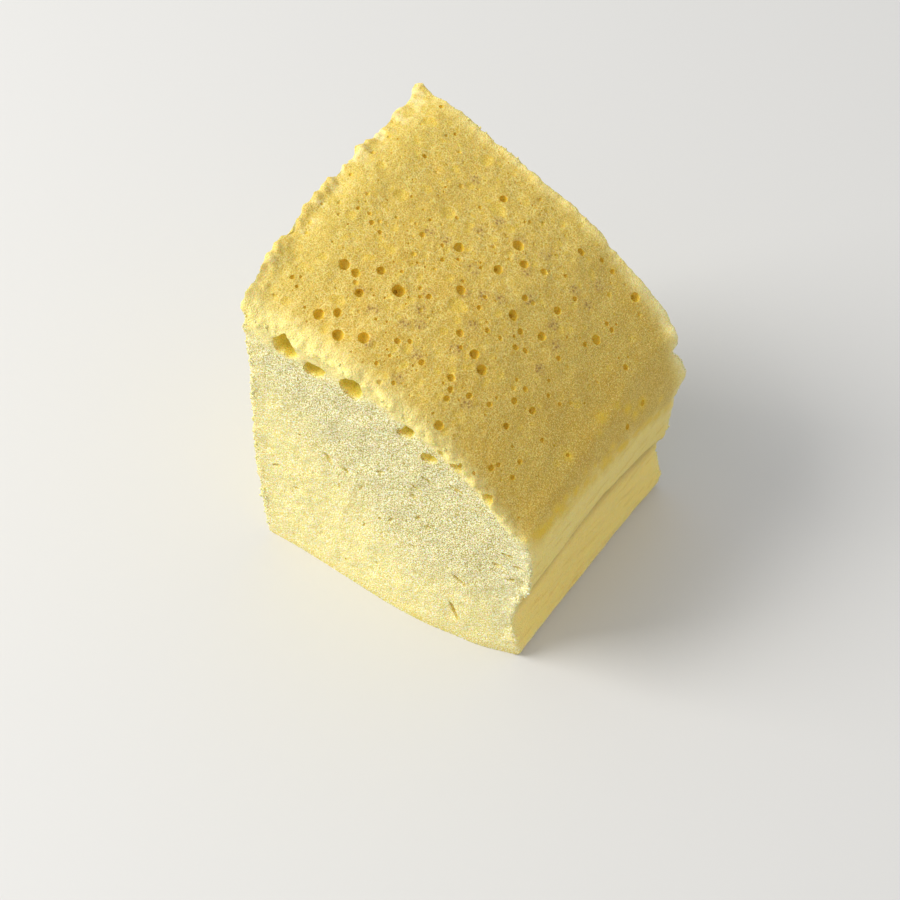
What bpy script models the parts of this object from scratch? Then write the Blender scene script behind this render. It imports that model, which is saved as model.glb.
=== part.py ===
"""A cut chunk of steamed sponge cake, modelled at rest on its flat base.

The chunk has four upright sides and a skin on top. Three sides are cut or torn
crumb. The fourth is the side that stood against the steaming mould, and the top
slopes down to it. X runs from the tall cut side to the mould side, Y from the
near cut face to the far one, Z up. All sizes below are in millimetres.
"""

import math

import bmesh
import bpy
from mathutils import Matrix, Vector, noise

# Scale and mesh
MM = 0.001
CELLS_X = 16
CELLS_Y = 14
CELLS_Z = 16
EDGE_CROWDING = 0.4

# Plan corners of the base
TALL_NEAR = (0.0, 0.0)
MOULD_NEAR = (72.0, 0.0)
MOULD_FAR = (75.0, 63.5)
TALL_FAR = (0.4, 73.6)

# Heights of the top's four edges, as (fraction along the edge, height)
NEAR_EDGE = (
    (0, 79.5), (0.05, 77.0), (0.16, 75.5), (0.3, 74.4), (0.45, 71.6), (0.59, 67.6),
    (0.73, 62.4), (0.84, 57.7), (0.94, 51.2), (1, 43.8),
)
FAR_EDGE = (
    (0, 88.8), (0.1, 89.4), (0.24, 86.2), (0.42, 82.0), (0.62, 76.0), (0.84, 67.2),
    (0.9, 65.4), (0.95, 62.0), (1, 56.0),
)
TALL_EDGE = (
    (0, 79.5), (0.02, 82.0), (0.07, 84.2), (0.15, 86.4), (0.25, 87.6), (0.4, 88.9),
    (0.55, 89.6), (0.75, 88.8), (1, 88.8),
)
RIM_EDGE = ((0, 43.8), (0.1, 46.5), (0.3, 50.0), (0.6, 53.0), (1, 56.0))
TOP_SWELL = 3.2
EDGE_REACH = 6

# Mould side: how far it stands out at each level, at its two ends
# Level 0 is the foot, 1 the crease and 2 the rim
MOULD_PROFILE_NEAR = (
    (0, -0.9), (0.06, 0.0), (0.17, -0.6), (0.33, -1.8), (0.5, -2.4), (0.8, -1.6),
    (1, -0.3), (1.125, 1.3), (1.35, 1.7), (1.6, 1.7), (2, 0.4),
)
MOULD_PROFILE_FAR = (
    (0, -0.7), (0.07, 0.3), (0.45, 0.0), (1, -0.2), (1.07, 0.7), (1.35, 2.0),
    (1.5, 2.9), (1.64, 3.3), (1.75, 2.6), (1.85, 1.4), (2, 0.6),
)
CREASE_HEIGHTS = ((0, 24.0), (0.6, 24.0), (1, 17.6))
PROFILE_REACH = 8

# Near cut face: the foot sags outwards, most towards the mould side
FOOT_SAG = 4.0
FOOT_SAG_HEIGHT = 55.0
FOOT_SAG_SHARE = ((0, 0.2), (0.3, 0.55), (0.75, 1.0), (0.95, 0.9), (1, 0.4))

# Tall cut side: leans outwards at its top
TALL_LEAN = 1.2
TALL_BELLY = 1.3

# Uneven relief: size of the bumps and how far they stand out
SKIN_BUMP = 0.35
SKIN_GRAIN = 7.0
CRUMB_BUMP = 0.45
CRUMB_GRAIN = 5.0
TORN_BUMP = 1.1
TORN_GRAIN = 4.0
TORN_DEPTH = 0.12

# The photo's camera, through which the pores' places are worked out
CAMERA_EYE = (202.9, -246.3, 407.9)
CAMERA_TURN_DEG = 31.4
CAMERA_PITCH_DEG = 50.0
CAMERA_FOCAL_PX = 2070.0
PHOTO_MIDDLE_PX = 450.0
SIGHT_ROUNDS = 30

# Open pores in the skin, picked by eye in the photo, as (column, row, radius) in its pixels
SKIN_PORES_PX = (
    (401, 195, 8), (398, 291, 7.5), (450, 210, 7), (344, 266, 7), (461, 308, 7), (338, 335, 6.5),
    (518, 245, 6), (483, 370, 6), (363, 338, 6), (459, 248, 5.5), (514, 316, 5.5), (460, 290, 5.5),
    (319, 314, 5.5), (635, 298, 5), (486, 167, 5), (597, 340, 5),
)
PORE_SINK = 0.35

# Torn holes just under the skin, as (share along, height, half width, half height, depth)
NEAR_HOLES = (
    (0.126, 71.6, 2.4, 3.4, 4.2), (0.238, 69.4, 3.1, 1.5, 3.4), (0.374, 67.8, 3.0, 2.8, 3.0),
    (0.572, 62.6, 2.2, 1.4, 2.6), (0.752, 58.2, 2.0, 1.4, 2.2), (0.872, 52.6, 1.6, 0.9, 1.8),
    (0.745, 7.0, 1.2, 2.2, 1.6),
)
FAR_HOLES = ((0.18, 80.4, 2.6, 2.2, 3.4), (0.38, 77.4, 3.0, 1.5, 3.0), (0.64, 69.8, 2.1, 1.6, 2.6))
TALL_HOLES = ((0.2, 80.4, 2.5, 2.0, 3.2), (0.46, 82.2, 2.9, 1.5, 3.0), (0.76, 81.6, 2.1, 1.9, 2.8))

# Colour and finish of the crumb
SPONGE_COLOUR = (0.76, 0.60, 0.20, 1.0)
SPONGE_ROUGHNESS = 0.8


def along(keys, at):
    """Reads a height or share from pairs by straight lines between them."""
    if at <= keys[0][0]:
        return keys[0][1]
    for (t0, h0), (t1, h1) in zip(keys, keys[1:]):
        if at <= t1:
            return h0 + (h1 - h0) * (at - t0) / (t1 - t0)
    return keys[-1][1]


def top_height(u, v):
    """Height of the top at shares u and v of its two directions."""
    rise = 1 - (1 - v) ** TOP_SWELL
    tall = (1 - rise) * TALL_EDGE[0][1] + rise * TALL_EDGE[-1][1]
    rim = (1 - rise) * RIM_EDGE[0][1] + rise * RIM_EDGE[-1][1]
    height = (1 - rise) * along(NEAR_EDGE, u) + rise * along(FAR_EDGE, u)
    height += (1 - u) ** EDGE_REACH * (along(TALL_EDGE, v) - tall)
    return height + u**EDGE_REACH * (along(RIM_EDGE, v) - rim)


def mould_offset(level, v):
    """How far the mould side stands out from its foot line at a level of 0 to 2."""
    return along(MOULD_PROFILE_NEAR, level) * (1 - v) + along(MOULD_PROFILE_FAR, level) * v


def mould_height(level, v):
    """Height of a level of the mould side."""
    crease = along(CREASE_HEIGHTS, v)
    return level * crease if level < 1 else crease + (level - 1) * (along(RIM_EDGE, v) - crease)


def plan(u, v):
    """Point of the base's outline at shares u and v."""
    near = Vector(TALL_NEAR).lerp(Vector(MOULD_NEAR), u)
    far = Vector(TALL_FAR).lerp(Vector(MOULD_FAR), u)
    return near.lerp(far, v)


def body_point(u, v, w):
    """Point of the smooth body at shares u, v and w of its length, depth and height."""
    spot = plan(u, v)
    share = u**PROFILE_REACH
    height = (1 - share) * w * top_height(u, v) + share * mould_height(2 * w, v)
    sag = math.sin(math.pi * min(1.0, max(0.0, (u - 0.02) / 1.02))) * (1 - v) ** 3
    sag *= max(0.0, 1 - height / FOOT_SAG_HEIGHT) ** 1.6 * along(FOOT_SAG_SHARE, u)
    lean = TALL_LEAN * (height / TALL_EDGE[-1][1]) ** 1.5 + TALL_BELLY * math.sin(math.pi * min(1.0, height / 55.0))
    x = spot.x + mould_offset(2 * w, v) * share - lean * (1 - u) ** 4
    return Vector((x, spot.y - FOOT_SAG * sag, height))


def bumps(point, grain, seed):
    """Smooth unevenness between about -1 and 1."""
    return 1.6 * noise.noise(point / grain + Vector((seed, 3.7 * seed, -seed)))


def roughened(point, u, v, w):
    """Moves a point of the surface in or out by the relief of the sides it lies on."""
    moved = point.copy()
    torn = max(0.0, 1 - (1 - w) / TORN_DEPTH)
    ragged = TORN_BUMP * torn
    if u == 0:
        moved.x += (CRUMB_BUMP + ragged) * bumps(point, CRUMB_GRAIN, 1.0) - 0.6 * ragged
    if u == 1:
        moved.x += 0.5 * CRUMB_BUMP * bumps(point, SKIN_GRAIN, 2.0)
    if v in (0, 1):
        moved.y += CRUMB_BUMP * bumps(point, CRUMB_GRAIN, 3.0)
    if w == 1:
        edge = max(1 - u * CELLS_X, 0.0) * min(1.0, 6 * v, 6 * (1 - v))
        moved.z += SKIN_BUMP * bumps(point, SKIN_GRAIN, 4.0) + edge * TORN_BUMP * bumps(point, TORN_GRAIN, 5.0)
    return moved


def crowded(share):
    """Moves a share towards the nearer end, so that cells are smaller by the edges."""
    return share - EDGE_CROWDING * math.sin(2 * math.pi * share) / (2 * math.pi)


def chunk_mesh():
    """Builds the closed body as a lattice of points on its six sides."""
    mesh = bmesh.new()
    counts = (CELLS_X, CELLS_Y, CELLS_Z)
    points = {}

    def corner(key):
        if key not in points:
            share = [crowded(key[0] / CELLS_X), crowded(key[1] / CELLS_Y), key[2] / CELLS_Z]
            points[key] = mesh.verts.new(roughened(body_point(*share), *share))
        return points[key]

    for axis in range(3):
        first, second = [i for i in range(3) if i != axis]
        for side in (0, counts[axis]):
            for a in range(counts[first]):
                for b in range(counts[second]):
                    ring = []
                    for step_a, step_b in ((0, 0), (1, 0), (1, 1), (0, 1)):
                        key = [0, 0, 0]
                        key[axis] = side
                        key[first] = a + step_a
                        key[second] = b + step_b
                        ring.append(corner(tuple(key)))
                    mesh.faces.new(ring)
    bmesh.ops.triangulate(mesh, faces=mesh.faces)
    bmesh.ops.recalc_face_normals(mesh, faces=mesh.faces)
    return mesh


def top_shares(x, y):
    """Finds the shares u and v of the top point that lies above x and y."""
    u, v = x / MOULD_NEAR[0], y / TALL_FAR[1]
    for _ in range(12):
        spot = body_point(u, v, 1)
        u = min(1.0, max(0.0, u + (x - spot.x) / MOULD_NEAR[0]))
        v = min(1.0, max(0.0, v + (y - spot.y) / TALL_FAR[1]))
    return u, v


def sight_line(column, row):
    """Way from the camera through a pixel of the photo, 1 long along the camera's axis."""
    across = (column - PHOTO_MIDDLE_PX) / CAMERA_FOCAL_PX
    up = (PHOTO_MIDDLE_PX - row) / CAMERA_FOCAL_PX
    turn = Matrix.Rotation(math.radians(CAMERA_TURN_DEG), 3, "Z")
    tip = Matrix.Rotation(math.radians(90 - CAMERA_PITCH_DEG), 3, "X")
    return turn @ tip @ Vector((across, up, -1.0))


def seen_pore(column, row, radius_px):
    """Shares u and v on the top, and radius, of a pore that the photo shows at a pixel."""
    eye = Vector(CAMERA_EYE)
    way = sight_line(column, row)
    height = TALL_EDGE[0][1]
    for _ in range(SIGHT_ROUNDS):
        reach = (height - eye.z) / way.z
        spot = eye + reach * way
        u, v = top_shares(spot.x, spot.y)
        height = top_height(u, v)
    return u, v, radius_px * reach / CAMERA_FOCAL_PX


def add_bubble(mesh, centre, size, turn):
    """Adds one bubble of the given half sizes, turned a little about its own middle."""
    place = Matrix.Translation(centre) @ Matrix.Rotation(turn, 4, "Y") @ Matrix.Rotation(0.7 * turn, 4, "Z")
    bmesh.ops.create_icosphere(mesh, subdivisions=2, radius=1.0, matrix=place @ Matrix.Diagonal((*size, 1.0)))


def bubble_mesh():
    """Builds every pore and torn hole as a bubble that the body loses."""
    mesh = bmesh.new()
    for number, pore in enumerate(SKIN_PORES_PX):
        u, v, radius = seen_pore(*pore)
        centre = body_point(u, v, 1) - Vector((0, 0, PORE_SINK * radius))
        add_bubble(mesh, centre, (radius, radius, 1.25 * radius), 0.5 * number)
    for holes, start, end, tall in ((NEAR_HOLES, 0, 0, True), (FAR_HOLES, 0, 1, True), (TALL_HOLES, 0, 0, False)):
        for number, (share, height, half_width, half_height, depth) in enumerate(holes):
            u, v = (share, end) if tall else (start, share)
            centre = body_point(u, v, height / top_height(u, v))
            size = (half_width, depth, half_height) if tall else (depth, half_width, half_height)
            add_bubble(mesh, centre, size, 0.15 * math.sin(2.3 * number + 1))
    return mesh


def new_object(name, mesh):
    """Links a mesh as an object, scaled from millimetres to metres."""
    bmesh.ops.scale(mesh, vec=(MM, MM, MM), verts=mesh.verts)
    data = bpy.data.meshes.new(name)
    mesh.to_mesh(data)
    mesh.free()
    obj = bpy.data.objects.new(name, data)
    bpy.context.scene.collection.objects.link(obj)
    return obj


def settle_origin(obj):
    """Puts the origin at the middle of the base of the object's box."""
    spots = [vertex.co for vertex in obj.data.vertices]
    low = [min(spot[i] for spot in spots) for i in range(3)]
    high = [max(spot[i] for spot in spots) for i in range(3)]
    middle = Vector(((low[0] + high[0]) / 2, (low[1] + high[1]) / 2, low[2]))
    obj.data.transform(Matrix.Translation(-middle))
    print("origin", [round(value / MM, 3) for value in middle])
    print("size", [round((high[i] - low[i]) / MM, 2) for i in range(3)])


def sponge_material():
    """Matt pale yellow crumb."""
    material = bpy.data.materials.new("sponge")
    material.use_nodes = True
    shader = material.node_tree.nodes["Principled BSDF"]
    shader.inputs["Base Color"].default_value = SPONGE_COLOUR
    shader.inputs["Roughness"].default_value = SPONGE_ROUGHNESS
    shader.inputs["Metallic"].default_value = 0.0
    return material


def main():
    """Builds the one solid of the part."""
    for old in list(bpy.data.objects):
        bpy.data.objects.remove(old, do_unlink=True)
    cake = new_object("sponge_cake", chunk_mesh())
    bubbles = new_object("bubbles", bubble_mesh())
    cut = cake.modifiers.new("bubbles", "BOOLEAN")
    cut.operation = "DIFFERENCE"
    cut.solver = "EXACT"
    cut.object = bubbles
    bpy.context.view_layer.update()
    solid = bpy.data.meshes.new_from_object(cake.evaluated_get(bpy.context.evaluated_depsgraph_get()))
    cake.modifiers.clear()
    cake.data = solid
    cake.data.name = "sponge_cake"
    bpy.data.objects.remove(bubbles, do_unlink=True)
    settle_origin(cake)
    cake.data.materials.clear()
    cake.data.materials.append(sponge_material())


main()
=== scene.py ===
"""A cut chunk of steamed sponge cake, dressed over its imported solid.

The chunk has a porous golden skin on top and on the side that stood against the
steaming mould. Its other upright sides are cut crumb, torn along the skin. Sizes
in the classes are millimetres in the cake's own plan, whose zero is the tall near
corner of the base; CakePlan.placed turns them into metres in the part's frame.
"""

from __future__ import annotations

import logging
import math
import random
from dataclasses import dataclass, field
from enum import Enum

import bpy
import numpy as np
from mathutils import Euler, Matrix, Vector, kdtree, noise


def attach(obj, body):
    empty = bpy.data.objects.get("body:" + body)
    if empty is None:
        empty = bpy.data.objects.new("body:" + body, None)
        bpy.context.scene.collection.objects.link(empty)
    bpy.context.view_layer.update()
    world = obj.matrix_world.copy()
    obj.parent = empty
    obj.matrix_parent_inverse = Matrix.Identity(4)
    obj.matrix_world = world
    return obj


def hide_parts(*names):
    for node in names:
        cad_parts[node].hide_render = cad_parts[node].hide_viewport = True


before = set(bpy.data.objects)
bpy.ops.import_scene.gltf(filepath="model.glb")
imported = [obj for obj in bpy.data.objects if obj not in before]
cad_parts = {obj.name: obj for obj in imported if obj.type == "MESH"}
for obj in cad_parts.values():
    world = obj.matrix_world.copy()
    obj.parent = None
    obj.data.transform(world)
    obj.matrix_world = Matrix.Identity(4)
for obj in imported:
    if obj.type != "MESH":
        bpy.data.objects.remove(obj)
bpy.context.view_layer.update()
LOG = logging.getLogger("sponge")
MM = 0.001

Array = np.ndarray
Keys = tuple[tuple[float, float], ...]
Colour = tuple[float, float, float, float]


class Side(Enum):
    """The chunk's sides, by share axis (0 across, 1 along, 2 up) and end of it."""

    TALL = (0, 0)
    MOULD = (0, 1)
    NEAR = (1, 0)
    FAR = (1, 1)
    BASE = (2, 0)
    TOP = (2, 1)


class Opening(Enum):
    """How a bubble meets the surface: its radius and its sink, in opening radii."""

    DEEP = (1.02, 0.14)
    ROUND = (1.07, -0.30)


class Trace(Enum):
    """Torn mouths of the near face: depth in millimetres, and traced corners.

    The corners are pixels of an enlarged view of the photograph, which Sight describes.
    """

    ARROW = (4.0, (
        (162, 250), (190, 236), (208, 226), (217, 240), (233, 236), (242, 262), (257, 272), (248, 352),
        (215, 325), (185, 308), (165, 275),
    ))
    RAGGED = (3.4, (
        (305, 392), (318, 368), (335, 380), (352, 366), (372, 382), (392, 388), (405, 402), (427, 408),
        (412, 425), (375, 435), (345, 425), (315, 400),
    ))
    SLIVER = (0.8, (
        (352, 308), (385, 305), (420, 322), (445, 345), (455, 362), (430, 345), (395, 330), (365, 325),
    ))
    BOWL = (3.2, (
        (498, 476), (515, 452), (545, 441), (575, 446), (597, 468), (608, 500), (600, 532), (583, 552),
        (558, 532), (525, 504),
    ))
    WEDGE = (2.6, ((780, 710), (815, 700), (845, 685), (872, 700), (873, 720), (855, 735), (815, 732)))
    NICK = (1.8, ((905, 838), (960, 830), (985, 850), (950, 860)))


def along(keys: Keys, at: Array | float) -> Array:
    """Reads values from pairs by a smooth curve through them.

    Args:
        keys: Pairs of place and value, in order of place.
        at: Places to read.

    Returns:
        One value for each place.
    """
    x, y = np.array(keys, float).T
    slope = np.gradient(y, x)
    at = np.clip(at, x[0], x[-1])
    left = np.clip(np.searchsorted(x, at) - 1, 0, len(x) - 2)
    step = x[left + 1] - x[left]
    t = (at - x[left]) / step
    low = (1 + 2 * t) * (1 - t) ** 2 * y[left] + t * (1 - t) ** 2 * step * slope[left]
    return low + t * t * (3 - 2 * t) * y[left + 1] - t * t * (1 - t) * step * slope[left + 1]


def ease(values: Array, low: float, high: float) -> Array:
    """Smooth step of numbers from one level to another."""
    t = np.clip((values - low) / (high - low), 0, 1)
    return t * t * (3 - 2 * t)


def blob(points: Array, spot: tuple[float, ...], radius: float) -> Array:
    """Soft round weight about a spot, over as many axes as the spot has."""
    away = np.linalg.norm(points[:, : len(spot)] - np.array(spot), axis=1)
    return np.exp(-((away / radius) ** 2))


def bump_field(points: Array, grain: float, seed: float) -> Array:
    """Smooth unevenness between about -1 and 1.

    Args:
        points: Places in millimetres, one to a row.
        grain: Size of the bumps in millimetres.
        seed: Picks the pattern.

    Returns:
        One value for each place.
    """
    shift = Vector((seed, 3.7 * seed, -seed))
    return np.array([1.6 * noise.noise(Vector(p) / grain + shift) for p in points])


def cell_field(points: Array, grain: float, seed: float) -> Array:
    """Distance to the nearest of many scattered middles, in grains, one for each place."""
    shift = Vector((seed, -2.3 * seed, 1.9 * seed))
    return np.array([noise.voronoi(Vector(p) / grain + shift)[0][0] for p in points])


def pick_only(piece: bpy.types.Object) -> None:
    """Makes a piece the only selected one, and the active one."""
    bpy.ops.object.select_all(action="DESELECT")
    piece.select_set(True)
    bpy.context.view_layer.objects.active = piece


def join_all(pieces: list[bpy.types.Object]) -> bpy.types.Object:
    """Joins pieces into the first of them."""
    pick_only(pieces[0])
    for piece in pieces:
        piece.select_set(True)
    bpy.ops.object.join()
    return bpy.context.object


def read_points(piece: bpy.types.Object, what: str = "co") -> Array:
    """Places or normals of a mesh's points, one to a row."""
    flat = np.zeros(len(piece.data.vertices) * 3)
    piece.data.vertices.foreach_get(what, flat)
    return flat.reshape(-1, 3)


@dataclass
class Nearest:
    """Finds the nearest of some points."""

    points: Array

    def __post_init__(self) -> None:
        """Sorts the points into a tree."""
        self.tree = kdtree.KDTree(len(self.points))
        for index, point in enumerate(self.points):
            self.tree.insert(point, index)
        self.tree.balance()

    def find(self, places: Array) -> tuple[Array, Array]:
        """Number of the nearest point, and how far it is, for each place."""
        hits = [self.tree.find(place) for place in places]
        return np.array([hit[1] for hit in hits], int), np.array([hit[2] for hit in hits])


@dataclass
class CakePlan:
    """Smooth form of the chunk: shares of length, depth and height to places."""

    middle: tuple[float, float] = (37.608, 35.101)
    corners: tuple[tuple[float, float], ...] = ((0.0, 0.0), (72.0, 0.0), (75.0, 63.5), (0.4, 73.6))
    near_edge: Keys = (
        (0, 79.5), (0.05, 77.0), (0.16, 75.5), (0.3, 74.4), (0.45, 71.6), (0.59, 67.6),
        (0.73, 62.4), (0.84, 57.7), (0.94, 51.2), (1, 43.8),
    )
    far_edge: Keys = (
        (0, 88.8), (0.1, 89.4), (0.24, 86.2), (0.42, 82.0), (0.62, 76.4), (0.84, 68.2),
        (0.9, 66.2), (0.95, 62.9), (1, 56.0),
    )
    far_swell: Keys = ((0, 0.0), (0.45, 0.0), (0.65, 0.7), (0.85, 1.3), (0.95, 1.5), (1, 0.2))
    tall_edge: Keys = (
        (0, 79.5), (0.02, 82.0), (0.07, 84.2), (0.15, 86.4), (0.25, 87.6), (0.4, 88.9),
        (0.55, 89.6), (0.75, 88.8), (1, 88.8),
    )
    rim_edge: Keys = ((0, 43.8), (0.1, 46.5), (0.3, 50.0), (0.6, 53.0), (1, 56.0))
    mould_near: Keys = (
        (0, -0.9), (0.06, 0.0), (0.17, -0.6), (0.33, -1.8), (0.5, -2.4), (0.8, -1.6),
        (1, -0.3), (1.125, 1.3), (1.35, 1.7), (1.6, 1.7), (1.85, 1.2), (2, 0.0),
    )
    mould_far: Keys = (
        (0, -0.7), (0.07, 0.3), (0.45, 0.0), (1, -0.2), (1.07, 0.7), (1.35, 2.0),
        (1.5, 2.9), (1.64, 3.3), (1.75, 2.6), (1.85, 1.4), (2, 0.4),
    )
    crease: Keys = ((0, 24.0), (0.6, 24.0), (1, 17.6))
    # Lift below and above the crease, by share along, between which the mould side holds painted shade under the
    # crease's lip
    painted_shade_low: Keys = ((0, -12.0), (0.5, -8.5), (1, -6.0))
    painted_shade_high: Keys = ((0, 2.6), (0.6, 3.0), (1, 1.4))
    line_rise: Keys = ((0, 19.3), (0.2, 18.9), (0.4, 18.1), (0.6, 17.4), (0.8, 18.0), (1, 15.4))
    foot_sag: Keys = ((0, 0.2), (0.3, 0.55), (0.75, 1.0), (0.95, 0.9), (1, 0.4))

    def placed(self, points: Array) -> Array:
        """Turns places of the plan into metres in the part's frame."""
        return (np.asarray(points, float) - (*self.middle, 0.0)) * MM

    def top_height(self, u: Array, v: Array) -> Array:
        """Height of the top at shares u and v."""
        rise = 1 - (1 - v) ** 3.2
        tall = (1 - rise) * self.tall_edge[0][1] + rise * self.tall_edge[-1][1]
        rim = (1 - rise) * self.rim_edge[0][1] + rise * self.rim_edge[-1][1]
        height = (1 - rise) * along(self.near_edge, u) + rise * along(self.far_edge, u)
        height = height + (1 - u) ** 6 * (along(self.tall_edge, v) - tall)
        return height + u**6 * (along(self.rim_edge, v) - rim)

    def mould_height(self, level: Array, v: Array) -> Array:
        """Height of a level of the mould side: 0 foot, 1 crease, 2 rim."""
        crease = along(self.crease, v)
        upper = crease + (level - 1) * (along(self.rim_edge, v) - crease)
        return np.where(level < 1, level * crease, upper)

    def body(self, u: Array, v: Array, w: Array) -> Array:
        """Places of the smooth body.

        Args:
            u: Shares of the way from the tall side to the mould side.
            v: Shares of the way from the near face to the far one.
            w: Shares of the height.

        Returns:
            Places in millimetres, one to a row.
        """
        u, v, w = (np.asarray(a, float) for a in np.broadcast_arrays(u, v, w))
        low, right, far, left = (np.array(c) for c in self.corners)
        near = low + u[..., None] * (right - low)
        back = left + u[..., None] * (far - left)
        spot = near + v[..., None] * (back - near)
        share = u**8
        height = (1 - share) * w * self.top_height(u, v) + share * self.mould_height(2 * w, v)
        sag = np.sin(np.pi * np.clip((u - 0.02) / 1.02, 0, 1)) * (1 - v) ** 3
        sag = sag * np.clip(1 - height / 55.0, 0, 1) ** 1.6 * along(self.foot_sag, u)
        lean = 1.2 * (height / 88.8) ** 1.5 + 1.3 * np.sin(np.pi * np.clip(height / 55.0, 0, 1))
        out = along(self.mould_near, 2 * w) * (1 - v) + along(self.mould_far, 2 * w) * v
        x = spot[..., 0] + out * share - lean * (1 - u) ** 4
        y = spot[..., 1] - 4.0 * sag + along(self.far_swell, u) * v**6 * w**2
        return np.stack([x, y, height], -1)


@dataclass
class Lattice:
    """Points of the smooth body in millimetres, with their shares, one to a row."""

    plan: CakePlan
    points: Array
    normals: Array
    shares: Array
    wide: float = 72.0
    deep: float = 70.0
    band_reach: Keys = ((0, 7.0), (0.3, 5.5), (0.6, 3.6), (1, 2.2))
    skin_start: Keys = ((0, 2.2), (0.3, 1.9), (0.6, 0.9), (1, 0.0))
    skin_wrap: float = 2.2

    def on(self, side: Side) -> Array:
        """Whether each point lies on a side."""
        axis, end = side.value
        return np.abs(self.shares[:, axis] - end) < 1e-6

    def under(self) -> Array:
        """How far each point lies below the top's edge, along its side."""
        u, v, w = self.shares.T
        return (1 - w) * self.plan.top_height(u, v)

    def rind(self) -> Array:
        """How far each point lies within the skin, less than nothing in crumb.

        The skin starts a little way in from the near edge and wraps over the tall one.
        """
        u, v, _ = self.shares.T
        start = along(self.skin_start, u) * ease(v, 0.25, 0.05)
        return self.from_edge() - start + self.skin_wrap * ease(u, 0.12, 0.02) * ease(v, 0.02, 0.08)

    def from_edge(self) -> Array:
        """How far each point lies from the skin sides' edges, less than nothing on the cut sides."""
        u, v, _ = self.shares.T
        from_sides = self.deep * np.minimum(v, 1 - v)
        on_top = np.minimum(self.wide * u, from_sides)
        in_crumb = -np.minimum(self.under(), self.wide * (1 - u))
        return np.where(self.on(Side.TOP), on_top, np.where(self.on(Side.MOULD), from_sides, in_crumb))

    def edge_distance(self) -> Array:
        """How far each point lies from its side's nearest edge, the foot and the round rim left out."""
        u, v, _ = self.shares.T
        from_near_far = self.deep * np.minimum(v, 1 - v)
        on_cut = np.minimum(self.wide * np.minimum(u, 1 - u), self.under())
        on_tall = np.minimum(from_near_far, self.under())
        on_skin = np.where(self.on(Side.TOP), np.minimum(from_near_far, self.wide * u), from_near_far)
        cut = self.on(Side.NEAR) | self.on(Side.FAR)
        reach = np.where(self.on(Side.TALL), on_tall, np.where(cut, on_cut, on_skin))
        at_edge = (cut | self.on(Side.TALL)) & (self.on(Side.TOP) | self.on(Side.MOULD))
        return np.where(at_edge | (cut & self.on(Side.TALL)), 0.0, reach)

    def lift(self) -> Array:
        """How far each point lies above the mould side's crease."""
        return self.points[:, 2] - along(self.plan.crease, self.shares[:, 1])

    def over(self) -> Array:
        """How far each point lies above the orange line of the mould side."""
        return self.lift() - along(self.plan.line_rise, self.shares[:, 1])

    def crease_shade(self) -> Array:
        """How deep each point of the mould side lies in the shade of the crease's lip."""
        v = self.shares[:, 1]
        low, high = along(self.plan.painted_shade_low, v), along(self.plan.painted_shade_high, v)
        shade = ease(self.lift() - low, 0.0, 6.0) * ease(self.lift() - high, 0.4, -0.4)
        return shade * self.on(Side.MOULD)

    def spread(self, marks: list["Mark"]) -> Array:
        """How strongly each point lies in one of some soft round marks."""
        strength = np.zeros(len(self.points))
        for mark in marks:
            strength = np.maximum(strength, blob(self.points, tuple(mark.spot), mark.radius))
        return strength

    def fields(self, clusters: list["Mark"], stains: list["Mark"], dimples: list["Dimple"]) -> dict[str, Array]:
        """What the finish reads at each point.

        Args:
            clusters: The skin's clusters of brown dots.
            stains: The skin's orange stains.
            dimples: Soft hollows of the skin.

        Returns:
            Numbers for each point, by name.
        """
        u, v, _ = self.shares.T
        x, _, z = self.points.T
        under = self.under()
        cut = self.on(Side.NEAR) | self.on(Side.FAR) | self.on(Side.TALL)
        hollow = np.zeros(len(x))
        for dimple in dimples:
            if not dimple.is_lip:
                away = np.linalg.norm(self.points - np.array(dimple.spot), axis=1) / dimple.radius
                hollow = np.maximum(hollow, ease(away, 1.2, 0.7) * dimple.tone)
        leaning = 1.1 - (np.maximum(x, 0) + z) / 60.0
        warm = np.maximum(ease(leaning, -0.15, 0.35), 0.75 * ease(x, 5.0, 0.5))
        tip = ease(self.wide * (1 - u), 9.0, 1.0) * ease(z, 4.0, 14.0)
        far_strip = ease(self.deep * (1 - v), 6.5, 0.5) * ease(u, 0.72, 0.9) * ease(z, 24.0, 30.0)
        return {
            "rind": self.rind(),
            "side": self.on(Side.MOULD).astype(float),
            "lift": self.lift(),
            "over": self.over(),
            "across": u,
            # yellower, brighter crumb low on the cut sides: partly its own colour, partly painted bounce light
            # from below
            "warm": np.maximum(warm, 0.85 * ease(z, 30.0, 8.0)),
            "torn": np.where(cut, np.exp(-((under / along(self.band_reach, u)) ** 4)), 1.0),
            "tip": np.where(cut, tip, far_strip),
            # painted shade under the crease's lip of the mould side
            "crease": self.crease_shade(),
            "cluster": self.spread(clusters) * self.on(Side.TOP),
            "stain": self.spread(stains),
            "hollow": hollow,
            "pore": np.zeros(len(x)),
        }


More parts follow.
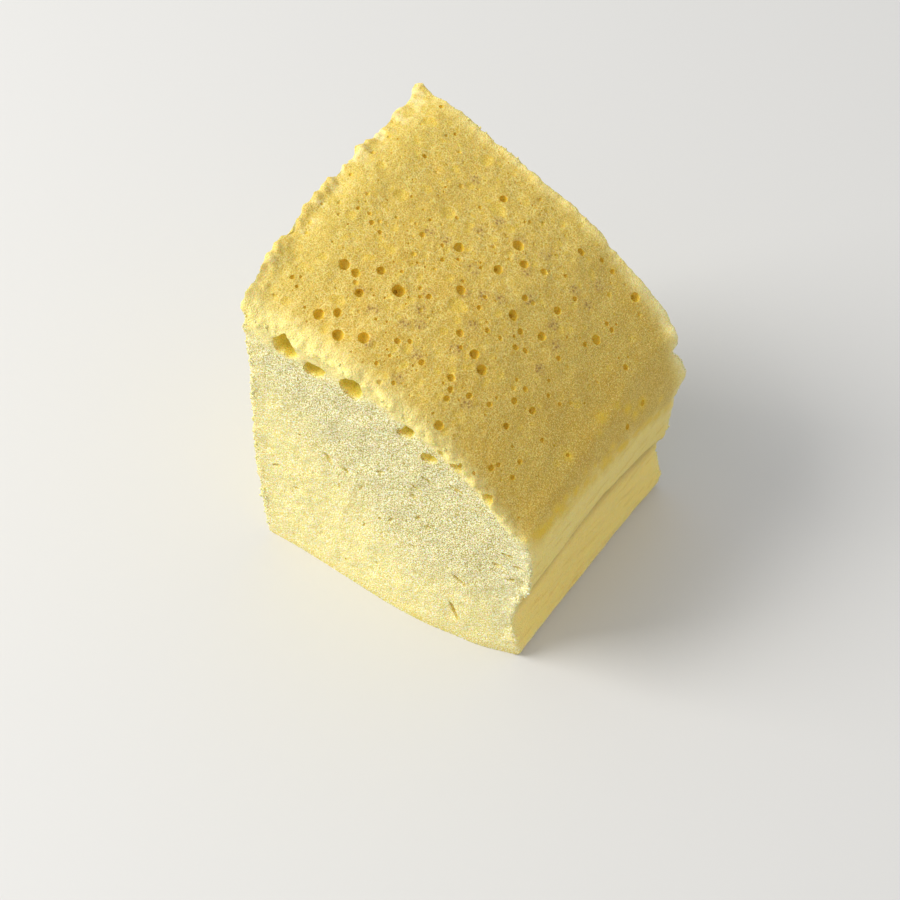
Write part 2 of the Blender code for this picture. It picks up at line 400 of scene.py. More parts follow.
@dataclass(frozen=True)
class Sight:
    """The photograph's camera, in the plan's millimetres and the photograph's pixels."""

    eye: tuple[float, float, float] = (202.9, -246.3, 407.9)
    turn: float = 31.4
    pitch: float = 50.0
    focal: float = 2070.0
    middle: float = 450.0
    enlarged_corner: tuple[float, float] = (240.0, 290.0)
    enlarged: float = 5.0

    def euler(self) -> Euler:
        """The camera's turn."""
        return Euler((math.radians(90 - self.pitch), 0.0, math.radians(self.turn)))

    def seen(self, points: Array) -> tuple[Array, Array]:
        """Pixels that show points, and millimetres to a pixel there."""
        turned = (points - np.array(self.eye)) @ np.array(self.euler().to_matrix())
        depth = -turned[:, 2]
        return self.middle + self.focal * turned[:, :2] * (1, -1) / depth[:, None], depth / self.focal

    def on_near(self, column: float, row: float) -> tuple[float, float]:
        """Place across and up on the near face's plane that a pixel shows."""
        local = Vector(((column - self.middle) / self.focal, (self.middle - row) / self.focal, -1.0))
        way = self.euler().to_matrix() @ local
        spot = Vector(self.eye) - way * (self.eye[1] / way.y)
        return spot.x, spot.z

    def from_enlarged(self, column: float, row: float) -> tuple[float, float]:
        """Pixel of the photograph at a pixel of the enlarged view."""
        left, upper = self.enlarged_corner
        return left + column / self.enlarged, upper + row / self.enlarged


@dataclass
class View:
    """Some sides of the body as the photograph shows them."""

    body: Lattice
    sides: tuple[Side, ...]
    sight: Sight

    def __post_init__(self) -> None:
        """Works out the pixels of the sides' points."""
        self.indices = np.flatnonzero(np.any([self.body.on(side) for side in self.sides], axis=0))
        self.pixels, self.scale = self.sight.seen(self.body.points[self.indices])

    def at(self, column: float, row: float) -> tuple[tuple[float, float, float], float]:
        """Shares of the body's point at a pixel, and millimetres to a pixel there."""
        nearest = int(np.argmin(np.sum((self.pixels - (column, row)) ** 2, axis=1)))
        return tuple(self.body.shares[self.indices[nearest]]), float(self.scale[nearest])


@dataclass(frozen=True)
class Mouth:
    """How far a torn hole's mouth reaches at each angle round its middle, in millimetres."""

    angles: tuple[float, ...]
    reaches: tuple[float, ...]

    @classmethod
    def through(cls, corners: list[tuple[float, float]]) -> "Mouth":
        """A rounded mouth through corners given across and up from its middle."""
        angles, reaches = zip(*sorted((math.atan2(up, across), math.hypot(across, up)) for across, up in corners))
        steps = np.linspace(-math.pi, math.pi, 48, endpoint=False)
        reach = np.interp(steps, angles, reaches, period=math.tau)
        for _ in range(5):
            reach = 0.5 * reach + 0.25 * (np.roll(reach, 1) + np.roll(reach, -1))
        return cls(tuple(steps), tuple(1.05 * reach))

    @classmethod
    def slit(cls, length: float, width: float, tilt: float) -> "Mouth":
        """An oval mouth, tilted by degrees."""
        angles = tuple(math.tau * step / 24 for step in range(24))
        turned = [angle - math.radians(tilt) for angle in angles]
        return cls(angles, tuple(0.5 / math.hypot(math.cos(a) / length, math.sin(a) / width) for a in turned))

    def scaled(self, scale: float) -> "Mouth":
        """The same mouth, larger or smaller."""
        return Mouth(self.angles, tuple(scale * reach for reach in self.reaches))

    def reach(self, angle: float) -> float:
        """How far the mouth reaches at an angle."""
        return float(np.interp(angle, self.angles, self.reaches, period=math.tau))


@dataclass(frozen=True)
class Mark:
    """A soft round mark of the skin, in millimetres."""

    spot: tuple[float, float, float]
    radius: float


@dataclass(frozen=True)
class Lump:
    """A single rise of the surface, or a notch where it is less than nothing."""

    spot: tuple[float, float, float]
    radius: float
    rise: float


@dataclass(frozen=True)
class Dimple:
    """A soft hollow, or the soft lip round a pore, in millimetres."""

    spot: tuple[float, float, float]
    radius: float
    depth: float
    tone: float = 0.0
    is_lip: bool = False

    def rise(self, away: Array) -> Array:
        """How far the surface moves out at distances given in its own radii."""
        if self.is_lip:
            return self.depth * np.exp(-(((away - 1.25) / 0.3) ** 2))
        bowl = np.clip(1 - away**2, 0, 1) ** 0.8
        return self.depth * (0.1 * np.exp(-(((away - 1.15) / 0.25) ** 2)) - bowl)


@dataclass
class Relief:
    """Unevenness of skin and crumb: pairs of grain and depth in millimetres."""

    skin: tuple[tuple[float, float], ...] = ((8.0, 0.30), (2.8, 0.12), (0.9, 0.05))
    foam: tuple[tuple[float, float], ...] = ((1.05, 0.06), (2.1, 0.12))
    crumb: tuple[tuple[float, float], ...] = ((6.0, 0.30), (2.6, 0.14), (1.3, 0.10))
    coarse: tuple[tuple[float, float], ...] = ((2.2, 0.10),)
    torn: tuple[tuple[float, float], ...] = ((3.0, 0.45), (1.5, 0.32))
    ragged: tuple[tuple[float, float], ...] = ((5.5, 0.85), (1.7, 0.28))
    torn_reach: float = 2.2
    ragged_reach: float = 2.8
    crease_depth: float = 0.55
    crease_width: float = 0.55
    streak: tuple[float, float] = (1.5, 0.16)
    swell: float = 0.25
    lumps: tuple[Lump, ...] = (
        Lump((-0.6, 73.0, 89.0), 3.2, 0.9),
        Lump((4.4, 72.8, 88.8), 2.0, -0.9),
        Lump((76.0, 63.5, 50.0), 1.7, -1.7),
        Lump((77.5, 63.5, 43.5), 2.6, 1.0),
        Lump((76.5, 63.5, 35.5), 1.6, -1.2),
        Lump((71.8, 0.0, 28.5), 1.5, -1.1),
        Lump((72.8, 0.0, 23.0), 1.6, 0.9),
    )

    def layers(self, points: Array, pairs: tuple[tuple[float, float], ...], seed: float) -> Array:
        """Sum of some layers of bumps."""
        return sum(depth * bump_field(points, grain, seed + 1.7 * n) for n, (grain, depth) in enumerate(pairs))

    def moved(self, body: Lattice, dimples: list[Dimple]) -> Array:
        """Places of the uneven body.

        Args:
            body: The smooth body.
            dimples: Soft hollows of its skin.

        Returns:
            Places in millimetres, one to a row.
        """
        points = body.points
        u, v, w = body.shares.T
        z = points[:, 2]
        rind = body.rind()
        skin = ease(rind, -0.5, 0.8)
        foot = ease(z, 0.3, 4.5)
        top, mould = body.on(Side.TOP), body.on(Side.MOULD)
        strong = np.where(mould, 0.45 + 0.55 * ease(body.over(), 0.0, 9.0), 1.0)
        rise = skin * strong * self.layers(points, self.skin, 4.0)
        rise += (1 - skin) * foot * self.layers(points, self.crumb, 11.0)
        coarse = (1 - skin) * foot * ease(points[:, 0] + z, 75.0, 45.0)
        rise += coarse * self.layers(points, self.coarse, 16.0)
        torn = np.exp(-((body.from_edge() / self.torn_reach) ** 2)) * foot
        rise += torn * (1 - 0.5 * ease(v, 0.8, 0.95)) * self.layers(points, self.torn, 21.0)
        ragged = np.exp(-((body.wide * u / self.ragged_reach) ** 2)) * ease(w, 0.86, 0.99)
        rise += ragged * (self.layers(points, self.ragged, 27.0) - 0.25)
        lift, over = body.lift(), body.over()
        frothy = np.flatnonzero(top | (mould & (over > 0)))
        calm = (1 - 0.65 * ease(u[frothy], 0.72, 0.98)) * np.where(top[frothy], 1.0, ease(over[frothy], 0.0, 8.0))
        for number, (grain, depth) in enumerate(self.foam):
            cells = np.clip(cell_field(points[frothy], grain, 30.0 + number) / 0.6, 0, 1) ** 2
            rise[frothy] += calm * depth * (cells - 0.5)
        rise -= mould * self.crease_depth * np.exp(-((lift / self.crease_width) ** 2))
        grain, depth = self.streak
        streaks = bump_field(points * (1.0, 0.1, 1.0), grain, 40.0)
        rise += mould * depth * streaks * ease(over, 4.0, -1.0) * ease(z, 0.5, 3.0)
        rise -= mould * 0.22 * np.exp(-((over / 0.9) ** 2)) * (0.6 + bump_field(points, 5.0, 43.0))
        for lump in self.lumps:
            rise += lump.rise * blob(points, lump.spot, lump.radius)
        for dimple in dimples:
            away = np.linalg.norm(points - np.array(dimple.spot), axis=1) / dimple.radius
            close = away < 2.0
            rise[close] += dimple.rise(away[close])
        rise += self.swell * foot * ease(body.edge_distance(), 3.0, 0.0)
        moved = points + body.normals * rise[:, None]
        moved[:, 2] = np.where(body.on(Side.BASE), 0.0, np.maximum(moved[:, 2], 0.02 + 0.15 * z))
        return moved


@dataclass(frozen=True)
class SkinSpots:
    """Marks of the skin, given as columns, rows and radii in the photograph's pixels."""

    pores: tuple[tuple[float, float, float], ...] = (
        (398, 291, 7.5), (344, 265, 6), (338, 335, 6.5), (518, 245, 6), (483, 370, 6), (363, 338, 6),
        (459, 248, 5.5), (514, 316, 5.5), (460, 290, 5.5), (319, 314, 5.5), (475, 354, 5.5),
        (635, 298, 5), (597, 340, 5), (518, 255, 5), (498, 269, 5), (359, 292, 5), (356, 273, 4.5),
        (381, 271, 5), (438, 425, 5), (524, 265, 4.5), (557, 311, 4.5), (541, 336, 4.5), (337, 312, 4.5),
        (642, 403, 3.5), (532, 411, 4), (451, 378, 4), (543, 272, 4), (581, 252, 4), (503, 200, 4),
        (507, 426, 4), (397, 342, 3.5), (421, 362, 3.5), (524, 298, 3.5), (521, 331, 3.5), (515, 347, 3.5),
        (625, 367, 3.5), (469, 396, 3.5), (447, 399, 3.5), (514, 401, 3.5), (628, 427, 3.5),
        (492, 468, 3.5), (602, 260, 3), (585, 345, 3), (526, 351, 3), (525, 389, 3), (519, 462, 3),
        (511, 477, 3), (336, 258, 3), (410, 342, 3), (568, 455, 2.5), (459, 333, 4), (451, 390, 3.5),
        (461, 347, 2.5), (484, 297, 2.5), (429, 296, 3), (371, 222, 3), (422, 236, 3), (487, 330, 3),
        (489, 404, 3), (558, 358, 3), (575, 300, 3), (612, 330, 3), (542, 440, 2.5), (560, 405, 2.5),
    )
    soft: tuple[tuple[float, float, float], ...] = (
        (401, 195, 8), (430, 122, 8), (448, 212, 8), (455, 170, 5), (456, 306, 9), (443, 331, 5),
        (384, 376, 5), (438, 372, 4), (408, 349, 6), (497, 208, 9), (378, 238, 5), (322, 256, 5),
        (300, 330, 5), (340, 300, 6), (416, 152, 4), (486, 160, 8), (470, 185, 5), (545, 268, 4),
        (560, 330, 5), (395, 228, 5), (365, 160, 9), (471, 366, 4), (369, 371, 4), (403, 364, 5),
        (371, 259, 4), (449, 279, 5), (420, 277, 4), (324, 330, 5), (327, 341, 5), (486, 381, 4),
        (510, 228, 6), (428, 190, 5), (470, 225, 5), (350, 215, 6), (540, 300, 4), (500, 375, 4),
    )
    stains: tuple[tuple[float, float, float], ...] = (
        (602, 417, 7), (600, 434, 4), (612, 448, 5), (606, 458, 4), (585, 472, 4), (577, 489, 4),
        (567, 497, 4), (557, 509, 6), (543, 531, 5), (527, 542, 5), (642, 404, 7), (629, 410, 6),
        (618, 406, 5), (635, 414, 5), (568, 455, 5), (660, 399, 4), (596, 466, 3), (550, 520, 4),
    )
    clusters: tuple[tuple[float, float], ...] = (
        (360, 292), (463, 292), (416, 354), (474, 269), (500, 222), (419, 326), (473, 326), (365, 342),
        (483, 296), (429, 295), (575, 290), (553, 325), (556, 345), (398, 378), (500, 300), (480, 232),
        (545, 255), (526, 272), (372, 310), (445, 240), (420, 310), (405, 325), (587, 306), (598, 285),
        (635, 292), (520, 240), (430, 232), (467, 404), (540, 370), (455, 350), (530, 300), (476, 180),
    )
    cluster_radius: float = 1.5


@dataclass(frozen=True)
class Bubble:
    """One round bubble to be taken out, in millimetres."""

    centre: Vector
    sizes: tuple[float, float, float]
    turn: Euler
    fineness: int
    lumps: float

    def shaped(self, corner: Vector, number: int) -> Vector:
        """Place of a corner of the round pattern on this bubble."""
        swell = 1 + self.lumps * noise.noise(corner * 1.3 + Vector((number * 1.7, 0.3, 0.8)))
        return self.turn.to_matrix() @ Vector([c * s * swell for c, s in zip(corner, self.sizes)]) + self.centre


@dataclass(frozen=True)
class Tear:
    """One torn hole of a cut side, in millimetres."""

    side: Side
    centre: Vector
    mouth: Mouth
    deep: float
    fineness: int
    lumps: float

    def shaped(self, corner: Vector, number: int) -> Vector:
        """Place of a corner of the round pattern on this hole's wall."""
        across, inward, up = corner
        reach = self.mouth.reach(math.atan2(up, across))
        swell = 1 + self.lumps * noise.noise(corner * 2.3 + Vector((number * 1.7, 0.3, 0.8)))
        plane = (across * reach * swell, inward * self.deep * swell, up * reach * swell)
        if self.side is Side.TALL:
            return self.centre + Vector((plane[1], -plane[0], plane[2]))
        return self.centre + Vector(plane)


@dataclass
class BubbleField:
    """The pores, torn holes and gouges that the chunk loses, and its soft dimples."""

    plan: CakePlan
    spots: SkinSpots
    sight: Sight
    seed: int = 41
    # Gouges of the near face: column and row in the photograph's pixels, then length,
    # width and depth in millimetres and tilt in degrees
    gouges: tuple[tuple[float, ...], ...] = (
        (456, 468, 3.6, 2.4, 2.2, -20), (490, 497, 3.0, 1.8, 1.9, -30), (459, 579, 4.8, 1.2, 1.6, -30),
        (454, 610, 6.4, 1.2, 1.9, -60), (498, 566, 3.6, 1.3, 1.3, 8), (519, 569, 3.4, 1.4, 1.4, 12),
        (328, 459, 4.0, 1.2, 1.1, -45), (346, 471, 2.4, 1.0, 1.1, -50), (277, 465, 2.8, 1.0, 0.8, 25),
        (296, 488, 2.6, 0.9, 0.8, 10), (338, 486, 2.8, 0.7, 0.8, 85), (360, 488, 2.4, 0.8, 0.7, 70),
        (380, 472, 2.6, 0.9, 0.7, 30), (390, 520, 2.2, 0.9, 0.8, 50), (347, 559, 1.5, 1.0, 0.8, 0),
        (415, 488, 4.8, 1.0, 1.0, -12), (428, 481, 3.8, 0.9, 0.9, -25), (456, 489, 4.4, 1.1, 1.1, -15),
        (508, 556, 4.0, 1.0, 1.1, 5), (512, 580, 2.6, 1.0, 1.0, 20),
        (413, 497, 1.6, 1.2, 1.0, 0), (417, 518, 2.0, 1.0, 0.9, 60), (428, 527, 2.4, 1.3, 0.8, 30),
        (413, 547, 1.4, 1.0, 0.8, 0), (363, 525, 2.0, 0.6, 0.7, 70), (430, 460, 3.4, 1.3, 1.4, -20),
        (440, 454, 2.2, 1.2, 1.2, -35), (300, 435, 1.2, 0.8, 0.6, 0), (380, 518, 1.5, 1.0, 0.8, 20),
    )
    # Holes of the hidden sides: side, place along and height in millimetres, mouth and scale
    hidden: tuple[tuple[Side, float, float, Trace, float], ...] = (
        (Side.FAR, 12.0, 82.0, Trace.RAGGED, 0.8),
        (Side.FAR, 21.0, 79.5, Trace.BOWL, 0.95),
        (Side.FAR, 52.0, 66.5, Trace.WEDGE, 0.8),
        (Side.TALL, 11.0, 77.5, Trace.WEDGE, 0.7),
        (Side.TALL, 39.0, 84.5, Trace.RAGGED, 1.0),
        (Side.TALL, 47.0, 81.0, Trace.BOWL, 0.55),
    )
    hidden_gouges: int = 6
    small_count: int = 240
    dimple_count: int = 190
    crumb_count: int = 40
    tears: list[Tear] = field(default_factory=list)
    clusters: list[Mark] = field(default_factory=list)
    stains: list[Mark] = field(default_factory=list)
    taken: list[tuple[Vector, float]] = field(default_factory=list)
    skin_bubbles: list[tuple[Vector, float, Opening]] = field(default_factory=list)
    dimples: list[Dimple] = field(default_factory=list)
    patterns: dict[int, bpy.types.Object] = field(default_factory=dict)

    def is_free(self, spot: Vector, reach: float, gap: float = 0.25) -> bool:
        """Whether a bubble here stays clear of the others."""
        return all((spot - other).length > reach + size + gap for other, size in self.taken)

    def claim(self, shares: tuple[float, float, float], radius: float, opening: Opening) -> bool:
        """Plans a pore whose mouth has this radius, if there is room."""
        spot = Vector(self.plan.body(*shares))
        reach = 1.15 * radius
        if not self.is_free(spot, reach):
            return False
        self.taken.append((spot, reach))
        self.skin_bubbles.append((spot, radius, opening))
        if radius > 0.5:
            self.dimples.append(Dimple(tuple(spot), radius, 0.09 * radius, 0.0, True))
        return True

    def hollow(self, shares: tuple[float, float, float], radius: float, depth: float, tone: float) -> bool:
        """Plans a soft dimple, if there is room."""
        spot = Vector(self.plan.body(*shares))
        if not self.is_free(spot, 0.55 * radius, -0.2 * radius):
            return False
        self.taken.append((spot, 0.5 * radius))
        self.dimples.append(Dimple(tuple(spot), radius, depth * radius, tone))
        return True

    def skin_place(self, dice: random.Random) -> tuple[float, float, float] | None:
        """A place for a pore between the large ones, seldom by the rim."""
        u, v = dice.uniform(0.02, 0.97), dice.uniform(0.02, 0.98)
        thick = math.exp(-(((u - 0.42) / 0.3) ** 2)) * (0.4 + 0.6 * math.exp(-(((v - 0.45) / 0.4) ** 2)))
        return (u, v, 1.0) if dice.random() < 0.25 + thick else None

    def tear(self, side: Side, shares: tuple[float, float, float], mouth: Mouth, deep: float) -> None:
        """Plans a torn hole, if it stays clear of the others."""
        centre = Vector(self.plan.body(*shares))
        widest = max(mouth.reaches)
        if self.is_free(centre, 0.8 * widest, 0.0):
            self.taken.append((centre, widest))
            wide = widest > 2.0
            self.tears.append(Tear(side, centre, mouth, deep, 4 if wide else 3, 0.16 if wide else 0.3))

    def tear_near(self, body: Lattice) -> dict[Trace, Mouth]:
        """Plans the near face's holes and gouges, and returns the traced mouths."""
        view = View(body, (Side.NEAR,), self.sight)
        mouths = {}
        for trace in Trace:
            deep, corners = trace.value
            pixels = [self.sight.from_enlarged(*corner) for corner in corners]
            middle = [(min(line) + max(line)) / 2 for line in zip(*pixels)]
            across, up = self.sight.on_near(*middle)
            places = [self.sight.on_near(*pixel) for pixel in pixels]
            mouths[trace] = Mouth.through([(x - across, z - up) for x, z in places])
            self.tear(Side.NEAR, view.at(*middle)[0], mouths[trace], deep)
        for column, row, length, width, deep, tilt in self.gouges:
            self.tear(Side.NEAR, view.at(column, row)[0], Mouth.slit(length, width, tilt), deep)
        return mouths

    def tear_hidden(self, mouths: dict[Trace, Mouth], dice: random.Random) -> None:
        """Plans the holes and gouges of the sides that the photograph doesn't show."""
        for side, place, height, trace, scale in self.hidden:
            shares = self.side_shares(side, place / (70.0 if side is Side.TALL else 72.0), 0.5)
            top = float(self.plan.top_height(*shares[:2]))
            self.tear(side, (*shares[:2], height / top), mouths[trace].scaled(scale), trace.value[0])
        for side in (Side.FAR, Side.TALL):
            for _ in range(self.hidden_gouges):
                mouth = Mouth.slit(dice.uniform(2.0, 5.0), dice.uniform(0.8, 1.4), dice.uniform(-60, 60))
                shares = self.side_shares(side, dice.uniform(0.1, 0.9), dice.uniform(0.06, 0.7))
                self.tear(side, shares, mouth, dice.uniform(0.8, 1.6))

    def side_shares(self, side: Side, share: float, w: float) -> tuple[float, float, float]:
        """Shares of a place on a cut side, from its share along the side and its height's."""
        return {Side.NEAR: (share, 0.0, w), Side.FAR: (share, 1.0, w), Side.TALL: (0.0, share, w)}[side]

    def settle(self, body: Lattice) -> None:
        """Plans every hole, pore and dimple of the smooth body."""
        dice = random.Random(self.seed)
        self.tear_hidden(self.tear_near(body), dice)
        view = View(body, (Side.TOP, Side.MOULD), self.sight)
        for column, row, pixels in self.spots.pores:
            shares, scale = view.at(column, row)
            self.claim(shares, pixels * scale, Opening.DEEP)
        for column, row, pixels in self.spots.soft:
            shares, scale = view.at(column, row)
            self.hollow(shares, pixels * scale, 0.2, 1.0)
        for column, row in self.spots.clusters:
            self.clusters.append(Mark(self.plan.body(*view.at(column, row)[0]), self.spots.cluster_radius))
        for column, row, pixels in self.spots.stains:
            shares, scale = view.at(column, row)
            self.stains.append(Mark(self.plan.body(*shares), pixels * scale))
        placed = 0
        while placed < self.small_count:
            shares = self.skin_place(dice)
            radius = 0.2 + 0.42 * dice.random() ** 1.8
            if shares:
                placed += self.claim(shares, radius, dice.choice((Opening.DEEP, Opening.ROUND)))
        placed = 0
        while placed < self.dimple_count:
            shares = self.skin_place(dice)
            radius = 0.45 + 0.85 * dice.random() ** 1.5
            if shares:
                placed += self.hollow(shares, radius, dice.uniform(0.08, 0.22), dice.uniform(0.5, 1.0))
        for side in (Side.NEAR, Side.FAR, Side.TALL):
            for _ in range(self.crumb_count):
                shares = self.side_shares(side, dice.uniform(0.03, 0.97), dice.uniform(0.05, 0.96))
                self.claim(shares, 0.2 + 0.3 * dice.random() ** 2, Opening.ROUND)

    def skin_shells(self, surface: Nearest, normals: Array) -> tuple[list[Bubble], list[Bubble]]:
        """Bubbles of the planned pores on the uneven surface.

        Args:
            surface: Finds the uneven surface's nearest point.
            normals: Outward direction at each of its points.

        Returns:
            The pores, and the inner cavities that open from the large ones.
        """
        pores, inner = [], []
        for number, (spot, radius, opening) in enumerate(self.skin_bubbles):
            dice = random.Random(self.seed + number)
            index = int(surface.find(np.array([spot]))[0][0])
            mouth, normal = Vector(surface.points[index]), Vector(normals[index])
            swell, sink = opening.value
            centre = mouth - normal * sink * radius
            sizes = tuple(swell * radius * dice.uniform(0.9, 1.1) for _ in range(3))
            turn = Euler([dice.uniform(0, 3) for _ in range(3)])
            fine = 4 if radius > 0.95 else 3 if radius > 0.42 else 2
            pores.append(Bubble(centre, sizes, turn, fine, 0.14))
            if radius < 0.85 or opening is Opening.ROUND:
                continue
            across = normal.orthogonal().normalized()
            for _ in range(dice.choice((0, 1, 1, 2))):
                across.rotate(Euler((0, 0, dice.uniform(1.6, 2.6))))
                way = (across - normal * dice.uniform(0.5, 1.2)).normalized()
                small = radius * dice.uniform(0.25, 0.4)
                spot = centre + way * radius * 0.95
                if all((spot - other.centre).length > small + other.sizes[0] + 0.1 for other in inner):
                    inner.append(Bubble(spot, (small,) * 3, turn, 3, 0.2))
        return pores, inner

    def pattern(self, fineness: int) -> bpy.types.Object:
        """The round shell that every other one of this fineness is copied from."""
        if fineness not in self.patterns:
            bpy.ops.object.select_all(action="DESELECT")
            bpy.ops.mesh.primitive_ico_sphere_add(subdivisions=fineness, radius=1.0, location=(0, 0, 0))
            self.patterns[fineness] = bpy.context.object
        return self.patterns[fineness]

    def blow(self, shells: list[Bubble | Tear]) -> bpy.types.Object:
        """Copies the round pattern for each shell, shapes the copies and joins them."""
        made = []
        for number, shell in enumerate(shells):
            source = self.pattern(shell.fineness)
            copy = source.copy()
            copy.data = source.data.copy()
            bpy.context.collection.objects.link(copy)
            corners = [self.plan.placed(shell.shaped(vertex.co, number)) for vertex in copy.data.vertices]
            copy.data.vertices.foreach_set("co", np.array(corners).ravel())
            made.append(copy)
        return join_all(made)

    def clear_patterns(self) -> None:
        """Removes the round patterns."""
        for source in self.patterns.values():
            bpy.data.objects.remove(source, do_unlink=True)
        self.patterns.clear()


@dataclass
class Value:
    """A shader number whose Python operators add Math nodes."""

    bench: "Bench"
    socket: bpy.types.NodeSocket

    def _math(self, operation: str, *others: "Value | float", first: "Value | float | None" = None) -> "Value":
        values = [self if first is None else first, *others]
        node = self.bench.node("ShaderNodeMath", {"operation": operation}, dict(enumerate(values)))
        return Value(self.bench, node.outputs[0])

    def __add__(self, other: "Value | float") -> "Value":
        """Sum."""
        return self._math("ADD", other)

    __radd__ = __add__

    def __sub__(self, other: "Value | float") -> "Value":
        """Difference."""
        return self._math("SUBTRACT", other)

    def __rsub__(self, other: float) -> "Value":
        """Difference, the other way round."""
        return self._math("SUBTRACT", self, first=other)

    def __mul__(self, other: "Value | float") -> "Value":
        """Product."""
        return self._math("MULTIPLY", other)

    __rmul__ = __mul__

    def most(self, other: "Value | float") -> "Value":
        """The larger of two."""
        return self._math("MAXIMUM", other)

    def least(self, other: "Value | float") -> "Value":
        """The smaller of two."""
        return self._math("MINIMUM", other)

    def ramp(self, low: float, high: float) -> "Value":
        """Smooth step from 0 at one level to 1 at another."""
        inputs = {"Value": self, "From Min": low, "From Max": high}
        settings = {"interpolation_type": "SMOOTHSTEP"}
        return Value(self.bench, self.bench.node("ShaderNodeMapRange", settings, inputs).outputs[0])


@dataclass
class Bench:
    """Adds nodes to one material."""

    tree: bpy.types.NodeTree

    def node(
        self, kind: str, settings: dict[str, object] | None = None, inputs: dict[str | int, object] | None = None
    ) -> bpy.types.Node:
        """Adds a node.

        Args:
            kind: Blender's name of the node's type.
            settings: Its own options, set first.
            inputs: Values or links of its sockets, by name or number.

        Returns:
            The node.
        """
        made = self.tree.nodes.new(kind)
        for name, value in (settings or {}).items():
            setattr(made, name, value)
        for key, value in (inputs or {}).items():
            socket = made.inputs[key]
            if isinstance(value, Value):
                self.tree.links.new(value.socket, socket)
            elif isinstance(value, bpy.types.NodeSocket):
                self.tree.links.new(value, socket)
            else:
                socket.default_value = value
        return made

    def mask(self, name: str) -> Value:
        """A number kept on the mesh's points."""
        return Value(self, self.node("ShaderNodeAttribute", {"attribute_name": name}).outputs["Fac"])

    def place(self) -> bpy.types.NodeSocket:
        """Object coordinates."""
        return self.node("ShaderNodeTexCoord").outputs["Object"]

    def stretched(self, where: bpy.types.NodeSocket, scale: tuple[float, float, float]) -> bpy.types.NodeSocket:
        """Coordinates scaled along each axis."""
        return self.node("ShaderNodeVectorMath", {"operation": "MULTIPLY"}, {0: where, 1: scale}).outputs[0]

    def height(self, where: bpy.types.NodeSocket) -> Value:
        """Height above the base in millimetres."""
        return Value(self, self.node("ShaderNodeSeparateXYZ", None, {0: where}).outputs[2]) * (1 / MM)

    def cloud(self, where: bpy.types.NodeSocket, size: float, detail: float = 2.0, rough: float = 0.5) -> Value:
        """Soft noise whose lumps have this size in millimetres."""
        inputs = {"Vector": where, "Scale": 1000 / size, "Detail": detail, "Roughness": rough}
        return Value(self, self.node("ShaderNodeTexNoise", None, inputs).outputs[0])

    def cells(self, where: bpy.types.NodeSocket, size: float) -> Value:
        """Distance from the middles of round cells of this size in millimetres."""
        inputs = {"Vector": where, "Scale": 1000 / size, "Smoothness": 0.3}
        return Value(self, self.node("ShaderNodeTexVoronoi", {"feature": "SMOOTH_F1"}, inputs).outputs["Distance"])

    def walls(self, where: bpy.types.NodeSocket, size: float) -> Value:
        """Distance from the walls between cells of this size in millimetres."""
        inputs = {"Vector": where, "Scale": 1000 / size}
        settings = {"feature": "DISTANCE_TO_EDGE"}
        return Value(self, self.node("ShaderNodeTexVoronoi", settings, inputs).outputs["Distance"])

    def warped(self, where: bpy.types.NodeSocket, size: float, reach: float) -> bpy.types.NodeSocket:
        """Coordinates pushed about by noise of this size, over a reach in millimetres."""
        inputs = {"Vector": where, "Scale": 1000 / size, "Detail": 1.0}
        push = self.node("ShaderNodeTexNoise", None, inputs).outputs[1]
        inputs = {0: push, 1: (reach * MM,) * 3, 2: where}
        return self.node("ShaderNodeVectorMath", {"operation": "MULTIPLY_ADD"}, inputs).outputs[0]

    def tint(self, factor: Value | float, one: object, other: object) -> bpy.types.NodeSocket:
        """Mixes two colours, the second by the factor."""
        inputs = {0: factor, 6: one, 7: other}
        return self.node("ShaderNodeMix", {"data_type": "RGBA"}, inputs).outputs[2]


